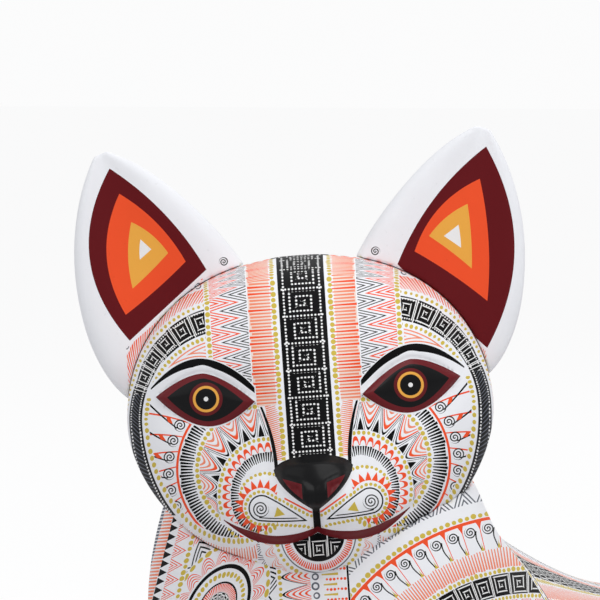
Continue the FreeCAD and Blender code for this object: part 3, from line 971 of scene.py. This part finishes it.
ROW_KINDS = {
    "band": lambda along, middle, width: abs(middle) < width / 2,
    "dots": lambda along, middle, width: dots(along, middle, width, width * 0.4),
    "hatch": lambda along, middle, width: hatch(along, middle, 1.35, 0.75, width * 1.1),
    "chain": link_row,
    "curls": curl_row,
    "petals": lambda along, middle, width: nested_row(along, middle, width, 2.0, 4.0),
    "zigzag": lambda along, middle, width: nested_row(along, middle, width, 1.0, 3.0),
    "teeth": lambda along, middle, width: petal_level(along, middle + width / 2, width, width, 1.0) < 0.9,
    "fret": lambda along, middle, width: solid_fret(along, middle, width * 1.1, width * 0.55, 0.5),
    "spikes": spike_row,
    "fangs": fang_row}


OVERLAID = ("fret", "spikes", "fangs")        # each shares the place of the row before it
print("kinds of row:", ", ".join(ROW_KINDS))


def lay_rows(coat, along, across, plan, where):
    """Lays a plan of rows outwards, over and over, where the mask allows."""
    period = sum(width for kind, width, colour in plan if kind not in OVERLAID)
    wrapped = across - (across * (1 / period)).math("FLOOR") * period
    start = 0.0
    for kind, width, colour in plan:
        over = kind in OVERLAID
        middle = wrapped - (start - width / 2 if over else start + width / 2)
        mask = ROW_KINDS[kind](along, middle, width) & (abs(middle) < width / 2) & where
        coat.lay(mask, colour)
        start += 0 if over else width


# %% Plans
SHOULDER_PLAN = (("band", 1.2, WHITE), ("dots", 2.6, MUSTARD), ("band", 1.3, ORANGE),
                 ("curls", 12.0, BLACK), ("spikes", 12.0, MUSTARD), ("fangs", 12.0, ORANGE),
                 ("hatch", 8.4, SALMON), ("dots", 2.4, MUSTARD),
                 ("band", 9.0, BLACK), ("fret", 9.0, DOT_WHITE), ("dots", 2.2, MUSTARD),
                 ("petals", 8.0, ORANGE), ("band", 0.8, BLACK), ("hatch", 5.0, SALMON))
LOOP_PLAN = (("band", 5.0, BLACK), ("fret", 5.0, DOT_WHITE), ("hatch", 2.8, ORANGE), ("band", 0.6, BLACK),
             ("band", 1.2, WHITE), ("dots", 2.3, MUSTARD), ("band", 0.8, WHITE), ("band", 1.4, BLACK),
             ("band", 0.8, WHITE), ("petals", 5.0, ORANGE), ("dots", 2.2, MUSTARD),
             ("zigzag", 6.0, BLACK), ("petals", 5.0, ORANGE), ("hatch", 5.0, SALMON), ("teeth", 2.6, BLACK))
BACK_PLAN = (("hatch", 4.5, SALMON), ("teeth", 4.5, ORANGE), ("dots", 2.4, MUSTARD), ("zigzag", 7.0, BLACK),
             ("hatch", 3.0, SALMON), ("band", 7.5, BLACK), ("fret", 7.5, DOT_WHITE), ("dots", 2.2, MUSTARD),
             ("hatch", 5.5, SALMON), ("petals", 7.0, ORANGE), ("curls", 9.5, BLACK), ("chain", 3.0, GREY),
             ("hatch", 5.0, ORANGE))
NECK_PLAN = (("band", 2.0, WHITE), ("zigzag", 8.0, GREY), ("hatch", 6.0, SALMON))
EDGE_PLAN = (("hatch", 3.0, GREY), ("hatch", 4.2, SALMON), ("teeth", 3.6, BLACK), ("zigzag", 5.6, ORANGE),
             ("dots", 2.4, MUSTARD))
LIMB_PLAN = (("band", 8.0, BLACK), ("fret", 8.0, DOT_WHITE), ("dots", 2.3, MUSTARD), ("hatch", 5.0, SALMON),
             ("petals", 7.5, ORANGE), ("band", 0.8, BLACK), ("dots", 2.2, MUSTARD), ("hatch", 5.0, BLACK),
             ("band", 1.0, ORANGE), ("curls", 9.0, BLACK), ("zigzag", 6.0, ORANGE), ("chain", 3.0, GREY))
print("rows on the shoulder, back and limbs:", len(SHOULDER_PLAN), len(BACK_PLAN), len(LIMB_PLAN))


# %% Chest
SHOULDER_REACH = 99.0                # radius of the shoulder's outermost ring
LOOP_EDGE = 18.8                     # where the loop's rows give way to the upright ones


def chest_pattern(coat, x, z, where):
    """The front of the neck: a loop on one side, shoulder rings on the other, columns between.

    Beyond the loop, towards the neck's edge, the rows stand upright.
    """
    away, along = ring(x, z, 81.5, -151.0, 90.0)
    shoulder = (x > 11.5) & where
    lay_rows(coat, along, SHOULDER_REACH - away, SHOULDER_PLAN, shoulder & (away < SHOULDER_REACH))
    lay_rows(coat, along, away - SHOULDER_REACH - 1.0, NECK_PLAN, shoulder & (away > SHOULDER_REACH + 1.0))
    off_side, off_up = x + 44.0, z + 86.0
    loop_across = (off_side * 0.82 - off_up * 0.57) * 1.2
    loop_up = (off_side * 0.57 + off_up * 0.82) * 0.72
    around = turn(loop_across, loop_up) * 85
    from_edge = x - z * 0.33 + 51.0
    round_loop = from_edge > LOOP_EDGE
    lay_rows(coat, around, distance(loop_across, loop_up), LOOP_PLAN, (x < -18.5) & round_loop & where)
    lay_rows(coat, z, from_edge, EDGE_PLAN, where & ~round_loop)
    columns = where & between(x, -18.0, 11.0)
    coat.lay(dots(z, x + 17.2, 2.4, 0.85) & columns, MUSTARD)
    petal = petal_level(z, -4.6 - x, 7.2, 10.5, 1.7)
    coat.lay(outlines(petal, 4.0, 0.4) & columns, ORANGE)
    coat.lay(between(petal, 1.04, 1.14) & columns & (x < -6.0), BLACK)
    coat.lay(link_row(z, x + 2.6, 3.4) & columns, GREY)
    lines = (z - (z * (1 / 4.2)).math("FLOOR") * 4.2) - 2.1       # from the middle of each dotted line
    coat.lay(dots(x, lines, 1.5, 0.55) & columns & (x > 1.4), ORANGE)
    lay_marks(coat, x, columns, (hatch, z + 2.1, 3.6, (4.2, 0.8, 7.0), MUSTARD))
    coat.lay(abs(x - 11.0) < 0.4, BLACK)


# %% Back of the head
def hindhead_pattern(coat, x, z, side, depth, where):
    """Rows round the back of the head, and the black band on to the nape."""
    along = turn(x, z + EYE_LINE) * 400
    lay_rows(coat, along, depth + 12.0, BACK_PLAN, where & (side > 12.0))
    coat.lay((side < 12.0) & where, BLACK)
    coat.lay(dotted_fret(depth - z * 0.8, x, *FRET_SIZES) & where, DOT_WHITE)
    lay_marks(coat, side, where, (dots, depth - z * 0.8, 8.4, EDGE_DOTS, DOT_WHITE))


# %% Painting the face
def face_pattern(coat, position):
    """The face's paint, in the order the brush lays it."""
    x, z, depth = seen_from_front(coat.tree, position)
    side = abs(x)
    brow_and_side(coat, x, z, side, depth)
    middle_columns(coat, x, z, side, depth)
    cheek_rings(coat, x, z, side)
    whisker_pad(coat, x, z, side)
    chin(coat, x, z, side)
    eyes_nose_mouth(coat, x, z, side)
    behind = depth > -8.0
    coat.lay(behind, WHITE)
    hindhead_pattern(coat, x, z, side, depth, behind)
    print("face paint:", len(coat.tree.nodes), "nodes")
    return ((nose_level(x, z) < 0.0) | (eye_level(x, z) < 1.0)) & (depth < -20.0)


head.data.materials.append(painted("face_paint", face_pattern))

# %% [markdown]
# ## Ears
# Each ear is hollowed in front, and the hollow is filled with nested triangles in flat colours, dark
# outside and light inside. A peg at its root pushes into the head and stays bare wood.

# %% Ear triangles
# Colour, then the top, inner and bottom corner, then how far the inner, lower and outer edge bow out.
RIGHT_EAR_TRIANGLES = (
    (DARK_RED, (75.7, 97.7), (38.7, 53.3), (72.3, 26.2), 3.4, 0.0, 12.5),
    (ORANGE, (72.4, 87.0), (47.0, 57.2), (73.2, 37.0), 2.6, 0.6, 6.6),
    (AMBER, (68.3, 75.0), (54.0, 61.2), (69.6, 47.6), 1.4, 0.3, 1.6),
    (DOT_WHITE, (65.0, 67.6), (60.8, 63.2), (65.8, 59.3), 0.0, 0.0, 0.3))
LEFT_EAR_TRIANGLES = (
    (DARK_RED, (79.9, 95.9), (40.1, 50.0), (74.6, 13.0), 4.2, 0.5, 11.5),
    (ORANGE, (76.4, 82.8), (47.5, 54.8), (76.0, 32.3), 4.4, -0.8, 2.0),
    (AMBER, (70.6, 72.8), (53.9, 60.7), (70.5, 46.1), 1.4, -0.4, 0.6),
    (DOT_WHITE, (66.3, 64.5), (60.0, 60.3), (66.7, 55.0), 0.0, 0.0, 0.2))
print("triangles in each ear:", len(LEFT_EAR_TRIANGLES))


def inside_edge(side, z, start, end, bulge):
    """Positive on the inner side of an edge that may bow outwards."""
    run_side, run_up = end[0] - start[0], end[1] - start[1]
    length = math.hypot(run_side, run_up)
    off_side, off_up = side - start[0], z - start[1]
    share = (off_side * run_side + off_up * run_up) * (1 / length ** 2)
    off_edge = (off_up * run_side - off_side * run_up) * (1 / length)
    return off_edge + share * (1 - share) * (4 * bulge)


HEAD_HALVES = (75, 64.5, 60)         # the head's half width, height and depth


def bare_wood_at(coat, where):
    """Unpainted wood on a peg."""
    coat.lay(where, PEG_WOOD)


def ear_pattern(coat, position, triangles):
    """Triangles in the hollow, sparse orange dots on the back and the rim, and a bare peg."""
    x, z, depth = seen_from_front(coat.tree, position)
    side = abs(x)
    normal = coat.tree.nodes.new("ShaderNodeTexCoord").outputs["Normal"]
    facing = measured(coat.tree, normal, front_back, Vector()) * -MM
    hollow = facing > 0.02
    for colour, top, inner, bottom, inner_bulge, lower_bulge, outer_bulge in triangles:
        level = smaller(inside_edge(side, z, top, inner, inner_bulge),
                        inside_edge(side, z, inner, bottom, lower_bulge))
        level = smaller(level, inside_edge(side, z, bottom, top, outer_bulge))
        coat.lay((level > 0.0) & hollow, colour)
    column = (side * 0.2).math("FLOOR")
    off_column = side - column * 5.0 - 2.5
    coat.lay(dots(z + column * 2.5, off_column, 5.0, 0.55) & (facing < -0.1), ORANGE)
    rim = abs(facing) < 0.16
    lay_marks(coat, depth, rim, (dots, z, 6.0, (3.1, 0.6), ORANGE), (dots, z + 1.5, 10.0, (3.1, 0.5), GREY))
    off_rim = inside_edge(side, z, *RIGHT_EAR_TRIANGLES[0][1:3], 0.5) + 15.0
    coat.lay(dots(z, off_rim, 3.4, 0.6) & (facing > -0.1) & (z < 76.0), ORANGE)
    coat.lay(curl(side - 31.4, z - 56.0, 1.9, 0.9, 0.45) & hollow, BLACK)
    under_hollow = inside_edge(side, z, triangles[0][2], triangles[0][3], 0.4) < -1.4
    beyond, along = side_band(side, z)
    over = under_hollow & hollow & between(side, BAND_START, 74.0)
    rows_over_band(coat, along, along + beyond * 0.9, beyond - band_width(z), over)
    half_width, half_height, half_depth = HEAD_HALVES
    off_middle = distance(x * (1 / half_width), (z + EYE_LINE) * (1 / half_height))
    bare_wood_at(coat, distance(off_middle, depth * (1 / half_depth)) < 0.93)


# %% [markdown]
# ## Body, legs and tail
# Rows follow the wood: along the spine on the back, in rings round the shoulder and the haunch and on
# down the leg, and across the tail. The part of the chest under the face keeps the front view.

# %% Body patterns
def place_on_wood(tree, position):
    """Millimetres sideways, backward and up from the origin, as Fields."""
    axes = (Vector((1, 0, 0)), Vector((0, 1, 0)), Vector((0, 0, 1)))
    return [measured(tree, position, axis, Vector()) for axis in axes]


CHEST_EDGE = 34.0                    # depth behind the face where the back's rows take over
SPINE_EDGE = 17.6                    # where the rows start beside the spine


def trunk_pattern(coat, position):
    """Rows beside a fretted spine band, with the chest's own pattern in front."""
    x, y, z = place_on_wood(coat.tree, position)
    front_x, front_z, depth = seen_from_front(coat.tree, position)
    chest = depth < CHEST_EDGE
    roll = abs(turn(x, z - 50.0) - 0.5) * 460
    lay_rows(coat, y, roll - SPINE_EDGE, BACK_PLAN, ~chest & (roll > SPINE_EDGE))
    coat.lay(~chest & (roll < SPINE_EDGE - 0.6), BLACK)
    coat.lay(dotted_fret(y, x, *FRET_SIZES) & ~chest & (roll < 8.0), DOT_WHITE)
    lay_marks(coat, roll, ~chest,
              (dots, y, 8.6, (1.5, 0.46), DOT_WHITE),
              (hatch, y, 11.8, (2.4, 0.7, 2.2), DOT_WHITE),
              (hatch, y + 1.2, 14.6, (2.4, 0.7, 2.2), DOT_WHITE))
    chest_pattern(coat, front_x, front_z, chest)
    off_edge = depth - CHEST_EDGE
    coat.lay(abs(off_edge) < 2.4, WHITE)
    coat.lay(dots(z + x * 0.5, off_edge, 2.6, 0.95), MUSTARD)
    coat.lay(abs(abs(off_edge) - 2.2) < 0.35, BLACK)


TOE_WIDTH = 11.5


def leg_pattern(centre_y, centre_z, paw_middle, paw_tip):
    """Rings round the shoulder or haunch that run on down the leg, and stripes down the toes."""
    def pattern(coat, position):
        x, y, z = place_on_wood(coat.tree, position)
        off_back, off_up = y - centre_y, z - centre_z
        away = distance(off_back, off_up)
        near = away < 52.0
        along = near * turn(off_back, off_up) * 225 + ~near * (z * 0.8 + abs(x))
        lay_rows(coat, along, away, LIMB_PLAN, y > paw_tip + 27.0)
        toe = (abs(x) - paw_middle) * (1 / TOE_WIDTH) + 0.5
        off_toe = (fraction(toe) - 0.5) * TOE_WIDTH
        paw = y < paw_tip + 25.0
        lay_marks(coat, abs(off_toe), paw,
                  (dots, y, 3.6, (2.4, 0.8), MUSTARD), (hatch, y, 1.2, (1.35, 0.7, 3.6), SALMON))
        coat.lay((abs(off_toe) > 5.1) & paw & (y < paw_tip + 20.0), BLACK)
        coat.lay((abs(off_toe) < 2.6) & (y < paw_tip + 4.5), DARK_RED)
        coat.lay(abs(y - paw_tip - 26.0) < 1.0, BLACK)
    return pattern


def tail_pattern(coat, position):
    """Rows across the tail, spread round the middle of its curl, and a bare peg."""
    x, y, z = place_on_wood(coat.tree, position)
    bend = turn(x - 62.0, y - 222.0) * 330
    lay_rows(coat, z + x * 0.4, bend, LIMB_PLAN, z > -1.0)
    bare_wood_at(coat, (y < 195.6) & (abs(x) < 9.5))


GROOVE_HALF = 1.9


def carve_toes(piece, middle, tip, depth):
    """Three grooves over the end of a paw, deepest at its tip."""
    places = mesh_points(piece.data) / MM
    normals = np.empty(len(piece.data.vertices) * 3)
    piece.data.vertices.foreach_get("normal", normals)
    normals = normals.reshape(-1, 3)
    run = rise(places[:, 1], tip + 30.0, tip + 16.0)
    groove = np.zeros(len(places))
    for number in (-1, 0, 1):
        off_side = np.abs(places[:, 0]) - middle - number * TOE_WIDTH
        groove = groove + np.exp(-(off_side / GROOVE_HALF) ** 2)
    upper = rise(places[:, 2], 1.0, 5.0)
    places -= normals * (groove * run * upper * depth)[:, None]
    piece.data.vertices.foreach_set("co", (places * MM).ravel())
    piece.data.update()


# %% Carving and painting the other pieces
FORE_PAW = {"paw_middle": 56.0, "paw_tip": -236.0}
HIND_PAW = {"paw_middle": 87.0, "paw_tip": 16.0}
foreleg_pattern = leg_pattern(-48.0, 66.0, **FORE_PAW)
hindleg_pattern = leg_pattern(112.0, 50.0, **HIND_PAW)
for node, body, square, pattern in (
        ("ear_left", "ear_left", 0.8, partial(ear_pattern, triangles=LEFT_EAR_TRIANGLES)),
        ("ear_right", "ear_right", 0.8, partial(ear_pattern, triangles=RIGHT_EAR_TRIANGLES)),
        ("trunk", "figure", 1.7, trunk_pattern), ("tail", "tail", 1.0, tail_pattern),
        ("foreleg_left", "figure", 1.2, foreleg_pattern),
        ("foreleg_right", "figure", 1.2, foreleg_pattern),
        ("hindleg_left", "figure", 1.2, hindleg_pattern),
        ("hindleg_right", "figure", 1.2, hindleg_pattern)):
    piece = carved_copy(node, square, 4)
    if "foreleg" in node:
        carve_toes(piece, FORE_PAW["paw_middle"], FORE_PAW["paw_tip"], 3.0)
    if "hindleg" in node:
        carve_toes(piece, HIND_PAW["paw_middle"], HIND_PAW["paw_tip"], 2.6)
    put_in_place(piece, node, body)
    piece.data.materials.append(painted(node + "_paint", pattern))

# %% [markdown]
# ## Dowels
# The hidden dowels are plain hardwood rod with the grain along it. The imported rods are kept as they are
# and only given their wood.

# %% Dowel wood
def dowel_pattern(coat, position):
    """Pale wood with darker grain along the rod."""
    grain = sawn_noise(coat.tree, position, 900, 3, (1, 0.15, 1))
    coat.lay(grain > 0.0, PEG_WOOD)
    coat.lay(rise(grain, 0.48, 0.66), DARK_GRAIN)


dowel_wood = painted("dowel_wood_grain", dowel_pattern)
for name, block in frame["nodes"].items():
    if "dowels" in name:
        block.data.materials.clear()
        block.data.materials.append(dowel_wood)
        print("wood on", name)

# %% [markdown]
# ## Floor
# The floor is pale and far larger than the figure, so its edge never shows. The camera mostly sees its
# glow, which matches the white wall, and a little of its true shade, which keeps the figure's shadow.

# %% Floor
FLOOR_HALF = 40.0                    # metres
FLOOR_GREY = (0.6, 0.6, 0.61, 1)
FLOOR_GLOW, GLOW_SHARE = 1.09, 0.8
floor_mesh = bpy.data.meshes.new("floor")
floor_mesh.from_pydata([(-FLOOR_HALF, -FLOOR_HALF, 0), (FLOOR_HALF, -FLOOR_HALF, 0),
                        (FLOOR_HALF, FLOOR_HALF, 0), (-FLOOR_HALF, FLOOR_HALF, 0)], [], [(0, 1, 2, 3)])
floor = bpy.data.objects.new("floor", floor_mesh)
bpy.context.collection.objects.link(floor)
floor_paint = bpy.data.materials.new("pale_floor")
floor_paint.use_nodes = True
floor_tree = floor_paint.node_tree
floor_shader = floor_tree.nodes["Principled BSDF"]
floor_shader.inputs["Base Color"].default_value = FLOOR_GREY
floor_shader.inputs["Roughness"].default_value = 0.8
glow = floor_tree.nodes.new("ShaderNodeEmission")
glow.inputs["Color"].default_value = (1, 1, 1, 1)
glow.inputs["Strength"].default_value = FLOOR_GLOW
seen = floor_tree.nodes.new("ShaderNodeLightPath")
share = compute(floor_tree, "MULTIPLY", Field(floor_tree, seen.outputs["Is Camera Ray"]), GLOW_SHARE)
choice = floor_tree.nodes.new("ShaderNodeMixShader")
floor_tree.links.new(share.socket, choice.inputs["Fac"])
floor_tree.links.new(floor_shader.outputs["BSDF"], choice.inputs[1])
floor_tree.links.new(glow.outputs["Emission"], choice.inputs[2])
floor_tree.links.new(choice.outputs["Shader"], floor_tree.nodes["Material Output"].inputs["Surface"])
floor_mesh.materials.append(floor_paint)
print("floor half width, m:", FLOOR_HALF)
